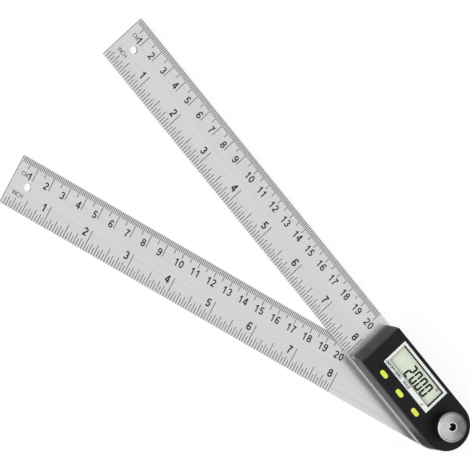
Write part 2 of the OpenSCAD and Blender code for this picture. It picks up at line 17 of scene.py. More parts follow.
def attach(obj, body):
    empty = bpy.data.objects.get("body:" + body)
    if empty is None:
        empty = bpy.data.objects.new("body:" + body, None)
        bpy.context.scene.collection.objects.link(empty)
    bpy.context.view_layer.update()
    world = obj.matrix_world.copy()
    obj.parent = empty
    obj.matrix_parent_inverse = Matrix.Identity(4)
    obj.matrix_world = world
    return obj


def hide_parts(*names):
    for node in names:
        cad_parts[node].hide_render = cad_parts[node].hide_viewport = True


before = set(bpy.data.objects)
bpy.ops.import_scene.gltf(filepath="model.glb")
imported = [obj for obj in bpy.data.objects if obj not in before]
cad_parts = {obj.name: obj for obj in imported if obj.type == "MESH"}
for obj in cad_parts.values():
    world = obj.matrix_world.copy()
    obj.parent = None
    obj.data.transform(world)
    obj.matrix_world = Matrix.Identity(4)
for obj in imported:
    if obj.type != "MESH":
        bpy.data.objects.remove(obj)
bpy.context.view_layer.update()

# ---------------------------------------------------------------------------
# The two arms: strips of 1.5 mm stainless steel, ground lengthways to a satin face, with every edge lightly
# broken. The blanked long edges are bright but rough, and the cropped ends and the drilled hang holes are
# dull, with painted shade: the cut steel coloured dark.
# ---------------------------------------------------------------------------
mm = 0.001
arm_length = 264
arm_half_width = 13.5
arm_opening = math.radians(20)
lower_arm_foot, lower_arm_top = 0, 1.5
upper_arm_foot, upper_arm_top = 1.8, 3.3
arm_edge_break = 0.14 * mm
hang_hole_x = -254.6
hang_hole_radius = 2.0
near = 0.05  # how close to a plane a face's middle counts as being on it
point_gap = 0.002  # points of a CAD mesh that lie closer than this are one
level_slack = 0.003  # how far an edge's ends may lie off its level
flat_turn = 0.01  # faces that meet at a smaller angle than this, in radians, are one
sharp_turn = 0.6  # faces that meet at a larger angle than this, in radians, make a sharp edge


def feed(tree, node, values):
    """Gives a node's inputs their values: numbers, colours or the sockets of other nodes."""
    for socket, value in values.items():
        if isinstance(value, bpy.types.NodeSocket):
            tree.links.new(value, node.inputs[socket])
        else:
            node.inputs[socket].default_value = value


def put(tree, kind, values=None, **settings):
    """Adds a shader node with its settings, and feeds its inputs."""
    node = tree.nodes.new("ShaderNode" + kind)
    for name, value in settings.items():
        setattr(node, name, value)
    feed(tree, node, values or {})
    return node


def maths(tree, operation, first, second, clamped=False):
    """One calculation on two numbers or sockets."""
    return put(tree, "Math", {0: first, 1: second}, operation=operation, use_clamp=clamped).outputs[0]


def ramp(tree, value, start=0.0, end=1.0, low=0.0, high=1.0):
    """Goes evenly from low to high as the value goes from start to end, and is held beyond both."""
    stretch = {"Value": value, "From Min": start, "From Max": end, "To Min": low, "To Max": high}
    return put(tree, "MapRange", stretch).outputs["Result"]


def cloud(tree, place, scale, detail, roughness=0.5, distortion=0.0, empty=0.3, full=0.7):
    """Cloudy noise: 0 where its own level is below empty, and 1 where it is above full."""
    noise = put(tree, "TexNoise", {"Vector": place, "Scale": scale, "Detail": detail,
                                   "Roughness": roughness, "Distortion": distortion})
    return ramp(tree, noise.outputs["Fac"], empty, full)


def new_effect(name, inputs, outputs):
    """An empty node group: a vector input where the starting value is None, else a number."""
    group = bpy.data.node_groups.new(name, "ShaderNodeTree")
    for socket, value in inputs.items():
        kind = "NodeSocketVector" if value is None else "NodeSocketFloat"
        made = group.interface.new_socket(name=socket, in_out="INPUT", socket_type=kind)
        if value is not None:
            made.default_value = value
    for socket in outputs:
        group.interface.new_socket(name=socket, in_out="OUTPUT", socket_type="NodeSocketFloat")
    return group, group.nodes.new("NodeGroupInput").outputs, group.nodes.new("NodeGroupOutput")


def place_effect(tree, group, **values):
    """Puts a node group into a material with its own values, and returns its outputs."""
    node = tree.nodes.new("ShaderNodeGroup")
    node.node_tree = group
    feed(tree, node, values)
    return node.outputs


def new_finish(name, **constants):
    """A material; the constants are set on its Principled shader's own sockets."""
    finish = bpy.data.materials.new(name)
    finish.use_nodes = True
    shader = finish.node_tree.nodes["Principled BSDF"]
    for socket, value in constants.items():
        shader.inputs[socket.replace("_", " ")].default_value = value
    return finish, finish.node_tree, shader


def part_coordinates(tree, turn=0.0):
    """The part's own coordinates, turned back about Z so that an arm's grain runs along X."""
    place = put(tree, "TexCoord").outputs["Object"]
    if turn:
        place = put(tree, "Mapping", {"Vector": place, "Rotation": (0, 0, -turn)}).outputs["Vector"]
    return place


def mix_tones(tree, dark, light, mask):
    """Goes from dark to light with the mask; each is a colour, or a socket that gives one."""
    ends = [tone if isinstance(tone, bpy.types.NodeSocket) else (*tone, 1) for tone in (dark, light)]
    mixed = put(tree, "Mix", {"Factor": mask, "A": ends[0], "B": ends[1]}, data_type="RGBA")
    return mixed.outputs["Result"]


def tint(tree, shader, dark, light, mask):
    """Feeds the base colour: dark where the mask is 0, light where it is 1."""
    tree.links.new(mix_tones(tree, dark, light, mask), shader.inputs["Base Color"])


def vary_roughness(tree, shader, smooth, rough, mask):
    """Feeds the roughness: smooth where the mask is 0, rough where it is 1."""
    tree.links.new(ramp(tree, mask, low=smooth, high=rough), shader.inputs["Roughness"])


def add_relief(tree, shader, height, depth):
    """Feeds the normal from a height of 0 to 1, depth metres high."""
    bump = put(tree, "Bump", {"Height": height, "Distance": depth, "Strength": 1.0})
    tree.links.new(bump.outputs["Normal"], shader.inputs["Normal"])


# Grain drawn or ground along X: fine scratches, each Run long and about Pitch
# apart, and a broad change of tone
grain, given, result = new_effect(
    "lengthways grain", {"Vector": None, "Run": 0.012, "Pitch": 0.0002}, ["Streak", "Tone"])
cell = put(grain, "CombineXYZ", {"X": given["Run"], "Y": given["Pitch"], "Z": given["Pitch"]}).outputs[0]
fine = put(grain, "VectorMath", {0: given["Vector"], 1: cell}, operation="DIVIDE").outputs[0]
wide = put(grain, "VectorMath", {0: fine, "Scale": 0.13}, operation="SCALE").outputs[0]
feed(grain, result, {"Streak": cloud(grain, fine, 1.0, 3.0, 0.65), "Tone": cloud(grain, wide, 1.0, 2.0)})

# Wear along outside edges, found by rounding the surface over a small radius
edge_wear, given, result = new_effect("edge wear", {"Radius": 0.0003, "Reach": 0.2}, ["Mask"])
rounded = put(edge_wear, "Bevel", {"Radius": given["Radius"]}, samples=4).outputs[0]
sharp = put(edge_wear, "NewGeometry").outputs["Normal"]
likeness = put(edge_wear, "VectorMath", {0: rounded, 1: sharp}, operation="DOT_PRODUCT").outputs["Value"]
feed(edge_wear, result, {"Mask": ramp(edge_wear, likeness, 1.0, 0.8, 0.0, given["Reach"])})

# Faint smudges from handling, each about Size across
handling, given, result = new_effect("handling marks", {"Vector": None, "Size": 0.02}, ["Mask"])
density = maths(handling, "DIVIDE", 1.0, given["Size"])
feed(handling, result, {"Mask": cloud(handling, given["Vector"], density, 4.0, 0.55, 0.6, empty=0.4)})


def ground_steel(name, turn):
    """Satin ground stainless steel, its grain turned to lie along one arm."""
    finish, tree, shader = new_finish(name, Metallic=1.0)
    place = part_coordinates(tree, turn)
    scratches = place_effect(tree, grain, Vector=place, Run=0.018, Pitch=0.00016)
    smudges = place_effect(tree, handling, Vector=place, Size=0.035)
    worn = place_effect(tree, edge_wear, Radius=0.00025, Reach=0.35)
    both = maths(tree, "ADD", scratches["Streak"], scratches["Tone"])
    marked = maths(tree, "MULTIPLY", both, 0.5)
    tint(tree, shader, (0.60, 0.60, 0.602), (0.70, 0.70, 0.70), maths(tree, "ADD", marked, worn["Mask"]))
    vary_roughness(tree, shader, 0.21, 0.30, maths(tree, "MULTIPLY", smudges["Mask"], marked))
    add_relief(tree, shader, scratches["Streak"], 0.0000003)
    return finish


def cut_steel(name, turn, dark, light):
    """A cut face of the strip, with coarse marks across its thickness."""
    finish, tree, shader = new_finish(name, Metallic=1.0)
    place = part_coordinates(tree, turn)
    cuts = place_effect(tree, grain, Vector=place, Run=0.0004, Pitch=0.0016)
    tint(tree, shader, dark, light, cuts["Streak"])
    vary_roughness(tree, shader, 0.40, 0.52, cuts["Tone"])
    add_relief(tree, shader, cuts["Streak"], 0.0000015)
    return finish


def solid_copy(node):
    """A CAD node's solid as an editable mesh, with its flat faces whole again."""
    solid = bmesh.new()
    solid.from_mesh(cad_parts[node].data)
    bmesh.ops.remove_doubles(solid, verts=solid.verts, dist=point_gap * mm)
    bmesh.ops.dissolve_limit(solid, angle_limit=flat_turn, verts=solid.verts, edges=solid.edges)
    return solid


def at_level(edge, level):
    """True for an edge that lies flat at a height in millimetres."""
    return all(abs(v.co.z - level * mm) < level_slack * mm for v in edge.verts)


def break_edges(solid, width, segments, *levels):
    """Rounds off the sharp edges that lie flat at any of the levels."""
    sharp = [e for e in solid.edges
             if len(e.link_faces) == 2 and e.calc_face_angle() > sharp_turn
             and any(at_level(e, level) for level in levels)]
    bmesh.ops.bevel(solid, geom=sharp, offset=width, segments=segments, profile=0.5,
                    affect="EDGES", clamp_overlap=True)
    solid.normal_update()


def lies_flat(face):
    """True for a face that looks straight up or down."""
    return abs(face.normal.z) > 0.95


def stands_upright(face):
    """True for a face that looks to the side."""
    return abs(face.normal.z) < 0.3


def add_piece(name, solid, body, finishes, replaced=(), smooth_below=35):
    """Makes a finished mesh into a piece that rides on a body of the model."""
    bmesh.ops.recalc_face_normals(solid, faces=solid.faces)
    mesh = bpy.data.meshes.new(name)
    solid.to_mesh(mesh)
    solid.free()
    for finish in finishes:
        mesh.materials.append(finish)
    mesh.shade_smooth()
    mesh.set_sharp_from_angle(angle=math.radians(smooth_below))
    piece = bpy.data.objects.new(name, mesh)
    bpy.context.scene.collection.objects.link(piece)
    normals = piece.modifiers.new("even shading", "WEIGHTED_NORMAL")
    normals.keep_sharp = True
    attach(piece, body)
    if replaced:
        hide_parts(*replaced)


for node, body, turn, foot, top in (
        ("lower_blade", "lower_arm", arm_opening, lower_arm_foot, lower_arm_top),
        ("upper_blade", "display_arm", 0.0, upper_arm_foot, upper_arm_top)):
    strip = solid_copy(node)
    break_edges(strip, arm_edge_break, 2, foot, top)
    along = Vector((math.cos(turn), math.sin(turn), 0))
    hole = along * hang_hole_x * mm
    for face in strip.faces:
        middle = face.calc_center_median()
        at_end = middle.dot(along) < (near - arm_length) * mm
        in_hole = (middle - hole).xy.length < (hang_hole_radius + near) * mm
        # Upright faces at the cropped end and round the hang hole get painted shade: the cut steel's colour
        # made dark
        in_painted_shade = stands_upright(face) and (at_end or in_hole)
        face.material_index = 0 if lies_flat(face) else 2 if in_painted_shade else 1
    add_piece(node + "_strip", strip, body, [
        ground_steel("ground steel, " + node, turn),
        cut_steel("blanked edge, " + node, turn, (0.64, 0.64, 0.642), (0.76, 0.76, 0.76)),
        # Painted shade: the same cut steel in a dark colour
        cut_steel("drilled and cropped steel, " + node, turn, (0.07, 0.07, 0.072), (0.13, 0.13, 0.13)),
    ], replaced=[node])

# ---------------------------------------------------------------------------
# The scales. Fine black filling in marks that are etched into both arms:
# 20 cm in millimetres along one edge, 8 inches in sixteenths along the other,
# with bold numbers, and the two units' names near the free end.
# ---------------------------------------------------------------------------
print_sink = 0.005  # how deep all print starts under the surface that it is on
mark_width = 0.34
mark_height = 0.02
mark_edge_gap = 0.08
centimetres = 20
inches = 8
inch = 25.4
# Lengths of the centimetre scale's marks; those of 1 to 9 cm are long, and end beside their numbers
millimetre_mark, half_centimetre_mark, centimetre_mark, long_centimetre_mark = 3.2, 5.4, 5.7, 9.8
# Lengths of the inch scale's marks: a mark takes the first whose number of sixteenths divides its own
sixteenth_marks = {16: 11.1, 8: 7.6, 4: 6.0, 2: 5.1, 1: 3.9}
# Numbers: their height, the line that they stand on, and how far from their mark towards the free end
inch_digit_height, inch_digit_base, inch_digit_offset = 4.3, -6.7, 3.3
cm_digit_height, cm_digit_base, cm_digit_offset, cm_number_offset = 4.0, 3.25, 2.3, 0.3
inch_digit_pen, cm_digit_pen = 0.178, 0.166
digit_gap = 0.5
letter_height, letter_pen = 2.2, 0.135
# The units' names: left end, base line and spacing
unit_names = {"CM": (-261.1, 4.1, 1.1), "INCH": (-261.0, -6.5, 1.15)}


def bow(cx, cy, rx, ry, start, end, steps=14):
    """Points along an arc of an ellipse, from one angle to another in degrees."""
    angles = [math.radians(start + (end - start) * i / steps) for i in range(steps + 1)]
    return [(cx + rx * math.cos(t), cy + ry * math.sin(t)) for t in angles]


def ring(cx, cy, rx, ry):
    """A closed oval stroke, marked by its first point standing last again."""
    return bow(cx, cy, rx, ry, 0, 360, 28)


def flowing(points):
    """The same stroke with its corners cut twice, so that it reads as a curve."""
    for _ in range(2):
        cut = [points[0]]
        for (ax, ay), (bx, by) in zip(points, points[1:]):
            cut += [(0.75 * ax + 0.25 * bx, 0.75 * ay + 0.25 * by),
                    (0.25 * ax + 0.75 * bx, 0.25 * ay + 0.75 * by)]
        points = cut + [points[-1]]
    return points


six = [ring(0.315, 0.300, 0.222, 0.217),
       flowing([(0.093, 0.30), (0.10, 0.56), (0.17, 0.86), (0.34, 0.96), (0.50, 0.90), (0.525, 0.765)])]
# Each character: its width and its strokes, on a height of 1
characters = {
    "0": (0.62, [ring(0.31, 0.5, 0.222, 0.417)]),
    "1": (0.62, [[(0.37, 0.0), (0.37, 1.0)], flowing([(0.37, 0.93), (0.28, 0.78), (0.11, 0.715)])]),
    "2": (0.62, [bow(0.31, 0.695, 0.215, 0.222, 168, -38) + [(0.14, 0.16), (0.10, 0.06)],
                 [(0.045, 0.083), (0.565, 0.083)]]),
    "3": (0.62, [bow(0.295, 0.715, 0.198, 0.202, 160, -90), bow(0.295, 0.298, 0.222, 0.215, 90, -160)]),
    "4": (0.62, [[(0.405, 0.97), (0.06, 0.30)], [(0.015, 0.285), (0.605, 0.285)],
                 [(0.425, 0.0), (0.425, 1.0)]]),
    "5": (0.62, [[(0.54, 0.917), (0.15, 0.917)], [(0.185, 0.95), (0.115, 0.48)],
                 bow(0.30, 0.318, 0.228, 0.235, 138, -158)]),
    "6": (0.62, six),
    "7": (0.62, [[(0.05, 0.917), (0.575, 0.917)],
                 flowing([(0.50, 0.90), (0.34, 0.66), (0.24, 0.36), (0.215, 0.0)])]),
    "8": (0.62, [ring(0.31, 0.712, 0.190, 0.205), ring(0.31, 0.297, 0.225, 0.214)]),
    "9": (0.62, [[(0.62 - x, 1 - y) for x, y in stroke] for stroke in six]),
    "C": (0.74, [bow(0.39, 0.5, 0.32, 0.445, 48, 312)]),
    "D": (0.70, [[(0.10, 0.0), (0.10, 1.0)],
                 [(0.08, 0.945)] + bow(0.29, 0.5, 0.34, 0.445, 90, -90) + [(0.08, 0.055)]]),
    "E": (0.62, [[(0.10, 0.0), (0.10, 1.0)]] + [[(0.08, y), (0.58, y)] for y in (0.055, 0.5, 0.945)]),
    "F": (0.58, [[(0.10, 0.0), (0.10, 1.0)]] + [[(0.08, y), (0.56, y)] for y in (0.5, 0.945)]),
    "H": (0.72, [[(0.10, 0.0), (0.10, 1.0)], [(0.62, 0.0), (0.62, 1.0)], [(0.08, 0.5), (0.64, 0.5)]]),
    "I": (0.30, [[(0.14, 0.0), (0.14, 1.0)]]),
    "L": (0.58, [[(0.10, 0.0), (0.10, 1.0)], [(0.08, 0.055), (0.56, 0.055)]]),
    "M": (0.86, [[(0.10, 0.0), (0.10, 1.0)], [(0.76, 0.0), (0.76, 1.0)],
                 [(0.12, 0.97), (0.43, 0.10), (0.74, 0.97)]]),
    "N": (0.74, [[(0.10, 0.0), (0.10, 1.0)], [(0.62, 0.0), (0.62, 1.0)], [(0.11, 0.96), (0.61, 0.04)]]),
    "O": (0.80, [ring(0.40, 0.5, 0.335, 0.445)]),
    "R": (0.68, [[(0.10, 0.0), (0.10, 1.0)],
                 [(0.08, 0.945)] + bow(0.34, 0.715, 0.22, 0.23, 90, -90) + [(0.08, 0.485)],
                 [(0.34, 0.48), (0.60, 0.0)]]),
    "Z": (0.66, [[(0.06, 0.945), (0.60, 0.945)], [(0.58, 0.92), (0.08, 0.08)],
                 [(0.05, 0.055), (0.62, 0.055)]]),
    "/": (0.40, [[(0.04, -0.04), (0.32, 1.04)]]),
    "<": (0.80, [[(0.72, 0.86), (0.10, 0.055), (0.76, 0.055)]]),
}


def ribbon(points, pen):
    """The four-cornered outlines that cover a stroke of an even width."""
    closed = math.dist(points[0], points[-1]) < 1e-6
    if closed:
        points = points[:-1]
    count = len(points)
    sides = []
    for i, (x, y) in enumerate(points):
        before = points[i - 1] if i or closed else points[i]
        after = points[(i + 1) % count] if i + 1 < count or closed else points[i]
        way_in = Vector((x - before[0], y - before[1]))
        way_out = Vector((after[0] - x, after[1] - y))
        way_in = (way_in if way_in.length > 1e-9 else way_out).normalized()
        way_out = (way_out if way_out.length > 1e-9 else way_in).normalized()
        middle = (way_in + way_out).normalized()
        reach = 0.5 * pen / max(middle.dot(way_in), 0.5)
        across, upward = middle.y * reach, middle.x * reach
        sides.append(((x - across, y + upward), (x + across, y - upward)))
    steps = range(count if closed else count - 1)
    return [(sides[i][0], sides[i][1], sides[(i + 1) % count][1], sides[(i + 1) % count][0]) for i in steps]


def bar(x0, y0, x1, y1):
    """A rectangle's outline."""
    return [(x0, y0), (x1, y0), (x1, y1), (x0, y1)]


def lay_plate(solid, outlines, low, high):
    """Joins overlapping outlines into one flat plate between two heights, all in millimetres."""
    points, loops = [], []
    for outline in outlines:
        area = sum(ax * by - bx * ay for (ax, ay), (bx, by) in zip(outline, [*outline[1:], outline[0]]))
        outline = outline if area > 0 else outline[::-1]
        loops.append(list(range(len(points), len(points) + len(outline))))
        points += [Vector(p) for p in outline]
    points, _, faces, _, _, sources = delaunay_2d_cdt(points, [], loops, 1, 1e-5)
    faces = [f for f, source in zip(faces, sources) if source]
    directed = {(a, b) for f in faces for a, b in zip(f, [*f[1:], f[0]])}
    used = {i for f in faces for i in f}
    top = {i: solid.verts.new((points[i].x * mm, points[i].y * mm, high * mm)) for i in used}
    under = {i: solid.verts.new((points[i].x * mm, points[i].y * mm, low * mm)) for i in used}
    for f in faces:
        solid.faces.new([top[i] for i in f])
        solid.faces.new([under[i] for i in reversed(f)])
    for a, b in directed:
        if (b, a) not in directed:
            solid.faces.new([top[b], top[a], under[a], under[b]])


def write_line(solid, words, left, base, height, pen, low, high, spacing=1.0, gap=0.0, centred=False):
    """Writes a line of characters that reads along +X, as thin plates.

    Spacing widens the characters and their steps; the pen is a share of their height.
    """
    width = sum(characters[c][0] for c in words) * height * spacing + gap * (len(words) - 1)
    x = left - width / 2 if centred else left
    for c in words:
        advance, strokes = characters[c]
        outlines = []
        for stroke in strokes:
            drawn = [(x + px * height * spacing, base + py * height) for px, py in stroke]
            outlines += ribbon(drawn, pen * height)
        lay_plate(solid, outlines, low, high)
        x += advance * height * spacing + gap


def scale_print(level):
    """All the marks and numbers of one arm, as it lies along -X with its top at a level."""
    low, high = level - print_sink, level + mark_height
    edge = arm_half_width - mark_edge_gap
    solid = bmesh.new()

    def mark(from_end, y0, y1):
        """One mark across the arm, at a distance from its free end."""
        x = from_end - arm_length
        lay_plate(solid, [bar(x - mark_width / 2, y0, x + mark_width / 2, y1)], low, high)

    for n in range(1, 10 * centimetres + 1):
        if n % 10 == 0:
            length = long_centimetre_mark if n < 100 else centimetre_mark
        else:
            length = half_centimetre_mark if n % 5 == 0 else millimetre_mark
        mark(n, arm_half_width - length, edge)
    for n in range(1, 16 * inches + 1):
        length = next(size for step, size in sixteenth_marks.items() if n % step == 0)
        mark(n * inch / 16, -edge, length - arm_half_width)
    for n in range(1, centimetres + 1):
        x = 10 * n - arm_length - (cm_digit_offset if n < 10 else cm_number_offset)
        write_line(solid, str(n), x, cm_digit_base, cm_digit_height, cm_digit_pen, low, high,
                   gap=digit_gap, centred=True)
    for n in range(1, inches + 1):
        x = inch * n - arm_length - inch_digit_offset
        write_line(solid, str(n), x, inch_digit_base, inch_digit_height, inch_digit_pen, low, high,
                   centred=True)
    for name, (left, base, spacing) in unit_names.items():
        write_line(solid, name, left, base, letter_height, letter_pen, low, high, spacing)
    bmesh.ops.dissolve_limit(solid, angle_limit=flat_turn, verts=solid.verts, edges=solid.edges)
    return solid


ink, tree, shader = new_finish("black filling of the marks", Specular_IOR_Level=0.3)
patchy = place_effect(tree, handling, Vector=part_coordinates(tree), Size=0.0008)
tint(tree, shader, (0.006, 0.006, 0.007), (0.022, 0.022, 0.023), patchy["Mask"])
vary_roughness(tree, shader, 0.5, 0.75, patchy["Mask"])

add_piece("upper_scale", scale_print(upper_arm_top), "display_arm", [ink])
lower_scale = scale_print(lower_arm_top)
swing = Matrix.Rotation(arm_opening, 3, "Z")
bmesh.ops.rotate(lower_scale, verts=lower_scale.verts, cent=(0, 0, 0), matrix=swing)
add_piece("lower_scale", lower_scale, "lower_arm", [ink])

# ---------------------------------------------------------------------------
# The pivot: a stud riveted flush into the lower arm, a slippery washer between
# the arms, and a bronze bush in the upper arm and in the housing's top wall.
# ---------------------------------------------------------------------------
# Rings left by a lathe tool round the Z axis, about Pitch apart, in wider bands
turning, given, result = new_effect("turning marks", {"Vector": None, "Pitch": 0.00012}, ["Ring", "Band"])
across = put(turning, "VectorMath", {0: given["Vector"], 1: (1, 1, 0)}, operation="MULTIPLY").outputs[0]
radius = put(turning, "VectorMath", {0: across}, operation="LENGTH").outputs["Value"]
steps = maths(turning, "DIVIDE", radius, given["Pitch"])
few = maths(turning, "MULTIPLY", steps, 0.17)
for socket, count, detail in (("Ring", steps, 2.0), ("Band", few, 1.0)):
    rings = put(turning, "TexNoise", {"W": count, "Scale": 1.0, "Detail": detail}, noise_dimensions="1D")
    feed(turning, result, {socket: ramp(turning, rings.outputs["Fac"], 0.3, 0.7)})

# Grain of a moulding: the mould's spark-eroded or sanded surface, with pits
# about Size across, and a slow change of shade
moulded, given, result = new_effect("moulded grain", {"Vector": None, "Size": 0.0003}, ["Height", "Shade"])
density = maths(moulded, "DIVIDE", 1.0, given["Size"])
slow = maths(moulded, "MULTIPLY", density, 0.04)
feed(moulded, result, {"Height": cloud(moulded, given["Vector"], density, 2.0, 0.6),
                       "Shade": cloud(moulded, given["Vector"], slow, 2.0)})


def turned_metal(name, dark, light, smooth, rough, pitch=0.00012):
    """Bare metal with lathe marks round the pivot axis."""
    finish, tree, shader = new_finish(name, Metallic=1.0)
    marks = place_effect(tree, turning, Vector=part_coordinates(tree), Pitch=pitch)
    tint(tree, shader, dark, light, marks["Band"])
    vary_roughness(tree, shader, smooth, rough, marks["Ring"])
    add_relief(tree, shader, marks["Ring"], 0.000002)
    return finish


def moulding(name, dark, light, smooth, rough, relief=0.000006, **constants):
    """A moulded plastic or rubber with its grain, and a slow change of tone."""
    finish, tree, shader = new_finish(name, **constants)
    skin = place_effect(tree, moulded, Vector=part_coordinates(tree), Size=0.0003)
    tint(tree, shader, dark, light, skin["Shade"])
    vary_roughness(tree, shader, smooth, rough, skin["Height"])
    add_relief(tree, shader, skin["Height"], relief)
    return finish


def dress(finish, *nodes):
    """Gives CAD nodes that stay as they are their material."""
    for node in nodes:
        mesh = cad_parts[node].data
        mesh.materials.clear()
        mesh.materials.append(finish)


dress(turned_metal("stud steel", (0.90, 0.90, 0.90), (0.96, 0.96, 0.96), 0.24, 0.30), "pivot_stud")
dress(moulding("white washer plastic", (0.70, 0.69, 0.64), (0.78, 0.77, 0.73), 0.5, 0.65), "thrust_washer")
dress(turned_metal("sintered bronze", (0.38, 0.22, 0.08), (0.52, 0.33, 0.14), 0.35, 0.5, pitch=0.00025),
      "pivot_bush", "top_bush")

# ---------------------------------------------------------------------------
# Inside the housing, from the arm up: base plate, coin cell with its two
# contacts, the angle sensor's disc and board, and the main board with its
# chip, small parts, pin strip, switches and screws. None of it shows.
# ---------------------------------------------------------------------------
dress(moulding("black base plastic", (0.020, 0.020, 0.021), (0.030, 0.030, 0.031), 0.5, 0.7), "base_plate")
dress(turned_metal("nickel-plated cell", (0.55, 0.55, 0.54), (0.66, 0.66, 0.65), 0.2, 0.35), "battery")
dress(turned_metal("gold-washed brass", (0.62, 0.45, 0.18), (0.75, 0.57, 0.26), 0.22, 0.35),
      "battery_minus_contact", "battery_plus_contact")
dress(turned_metal("spring steel", (0.42, 0.42, 0.43), (0.55, 0.55, 0.55), 0.25, 0.4), "rotor_clip")
dress(turned_metal("sensor disc foil", (0.55, 0.36, 0.12), (0.72, 0.52, 0.22), 0.25, 0.4, pitch=0.0006),
      "sensor_rotor")

# Green solder mask, a shade lighter over the copper tracks beneath it
board, tree, shader = new_finish("board with green mask", Coat_Weight=0.3)
tracks = put(tree, "TexBrick", {
    "Vector": part_coordinates(tree), "Scale": 260.0, "Mortar Size": 0.12,
    "Brick Width": 1.6, "Row Height": 0.5}).outputs["Fac"]
tint(tree, shader, (0.010, 0.10, 0.045), (0.020, 0.17, 0.08), tracks)
vary_roughness(tree, shader, 0.3, 0.42, tracks)
dress(board, "main_board", "sensor_board")

dress(moulding("chip epoxy", (0.012, 0.012, 0.013), (0.020, 0.020, 0.021), 0.45, 0.6), "processor_chip")
dress(moulding("ceramic parts", (0.36, 0.27, 0.17), (0.46, 0.36, 0.25), 0.4, 0.55), "board_parts")
dress(moulding("pin strip plastic", (0.012, 0.012, 0.012), (0.022, 0.022, 0.022), 0.45, 0.6), "board_link")
dress(moulding("contact rubber", (0.46, 0.16, 0.19), (0.56, 0.22, 0.25), 0.6, 0.8), "contact_strips")
dress(moulding("white carrier plastic", (0.66, 0.66, 0.64), (0.74, 0.74, 0.72), 0.45, 0.6), "display_carrier")
dress(turned_metal("switch metal", (0.50, 0.50, 0.50), (0.62, 0.62, 0.62), 0.25, 0.4),
      "switch_cases", "switch_domes")
dress(moulding("plunger plastic", (0.014, 0.014, 0.014), (0.022, 0.022, 0.022), 0.4, 0.55),
      "on_off_plunger", "hold_plunger", "mode_plunger")
dress(turned_metal("blackened screws", (0.030, 0.030, 0.031), (0.055, 0.055, 0.056), 0.35, 0.5),
      "case_screws", "board_screws")

# ---------------------------------------------------------------------------
# Battery cap: black moulding, flush in the back of the upper arm, turned with
# a coin in its slot.
# ---------------------------------------------------------------------------
cap_edge = 0.15 * mm
cap_plastic = moulding("battery cap plastic", (0.016, 0.016, 0.017), (0.026, 0.026, 0.027), 0.42, 0.6)
cap = solid_copy("battery_cap")
break_edges(cap, cap_edge, 2, upper_arm_foot)
add_piece("battery_cap_moulding", cap, "cap", [cap_plastic], replaced=["battery_cap"])

# ---------------------------------------------------------------------------
# Display housing: one deep black moulding with small rounded edges, screwed on through the arm, matt on its
# spark-eroded face and smoother on its walls. The walls are matt and carry painted shade round the pivot and
# along the long sides' top, and the end wall carries a painted reflection of the bright arm, pale towards its
# foot.
# ---------------------------------------------------------------------------
face_level = 16.3
housing_edge = 0.15 * mm
housing_foot = upper_arm_top
face_reach = 0.2  # how far down from the face its rounded edge still has the face's finish
# The end wall's painted reflection of the bright arm: how high it reaches, and its pale colour
painted_reflection_height = 4.7
painted_reflection_colour = (0.17, 0.17, 0.168)
# Where each stretch of the walls starts to show its painted reflection or painted shade, and where it shows
# it wholly
end_wall_start, end_wall_whole = -55.3, -56.2
pivot_end_start, pivot_end_whole = -10, -1.5
top_band_start, top_band_whole = 13.2, 13.9
# The painted shade's colour, and the matt roughness that goes with it
painted_shade_colour = (0.002, 0.002, 0.002)
dull_roughness = 1.0

# Painted reflection of the bright arm low on a wall: 1 at the Foot, gone at the Top
painted_foot_reflection, given, result = new_effect(
    "painted reflection low on a wall", {"Vector": None, "Foot": 0.0033, "Top": 0.008}, ["Mask"])
height = put(painted_foot_reflection, "SeparateXYZ", {0: given["Vector"]}).outputs["Z"]
nearness = ramp(painted_foot_reflection, height, given["Top"], given["Foot"])
feed(painted_foot_reflection, result, {"Mask": maths(painted_foot_reflection, "POWER", nearness, 2.5)})


def black_moulding(name, dark, light, smooth, rough, specular, with_painted_shade=False):
    """Black plastic of the housing, a little polished along its outer edges.

    With painted shade, it is matt and painted darker round the pivot and along the top of the long walls.
    """
    finish, tree, shader = new_finish(name, Specular_IOR_Level=specular)
    place = part_coordinates(tree)
    along = put(tree, "SeparateXYZ", {0: place}).outputs
    skin = place_effect(tree, moulded, Vector=place, Size=0.00028)
    rubbed = place_effect(tree, edge_wear, Radius=0.0005, Reach=0.8)
    touched = place_effect(tree, handling, Vector=place, Size=0.012)
    foot_reflection = place_effect(tree, painted_foot_reflection, Vector=place,
                        Foot=housing_foot * mm, Top=(housing_foot + painted_reflection_height) * mm)
    end_wall = ramp(tree, along["X"], end_wall_start * mm, end_wall_whole * mm)
    colour = mix_tones(tree, dark, light, maths(tree, "MAXIMUM", skin["Shade"], rubbed["Mask"]))
    # Painted reflection: the end wall made pale towards its foot, where the bright arm shows in it
    colour = mix_tones(tree, colour, painted_reflection_colour, maths(tree, "MULTIPLY", foot_reflection["Mask"], end_wall))
    marks = maths(tree, "MAXIMUM", touched["Mask"], rubbed["Mask"])
    roughness = ramp(tree, marks, low=rough, high=smooth)
    if with_painted_shade:
        # Painted shade: darker, and matt, round the pivot end and along the top of the long walls
        pivot_end = ramp(tree, along["X"], pivot_end_start * mm, pivot_end_whole * mm)
        top_band = ramp(tree, along["Z"], top_band_start * mm, top_band_whole * mm)
        long_wall = maths(tree, "SUBTRACT", 1.0, end_wall)
        in_painted_shade = maths(tree, "MAXIMUM", pivot_end, maths(tree, "MULTIPLY", top_band, long_wall))
        colour = mix_tones(tree, colour, painted_shade_colour, in_painted_shade)
        roughness = put(tree, "Mix", {"Factor": in_painted_shade, "A": roughness, "B": dull_roughness}).outputs["Result"]
    feed(tree, shader, {"Base Color": colour, "Roughness": roughness})
    add_relief(tree, shader, skin["Height"], 0.000005)
    return finish


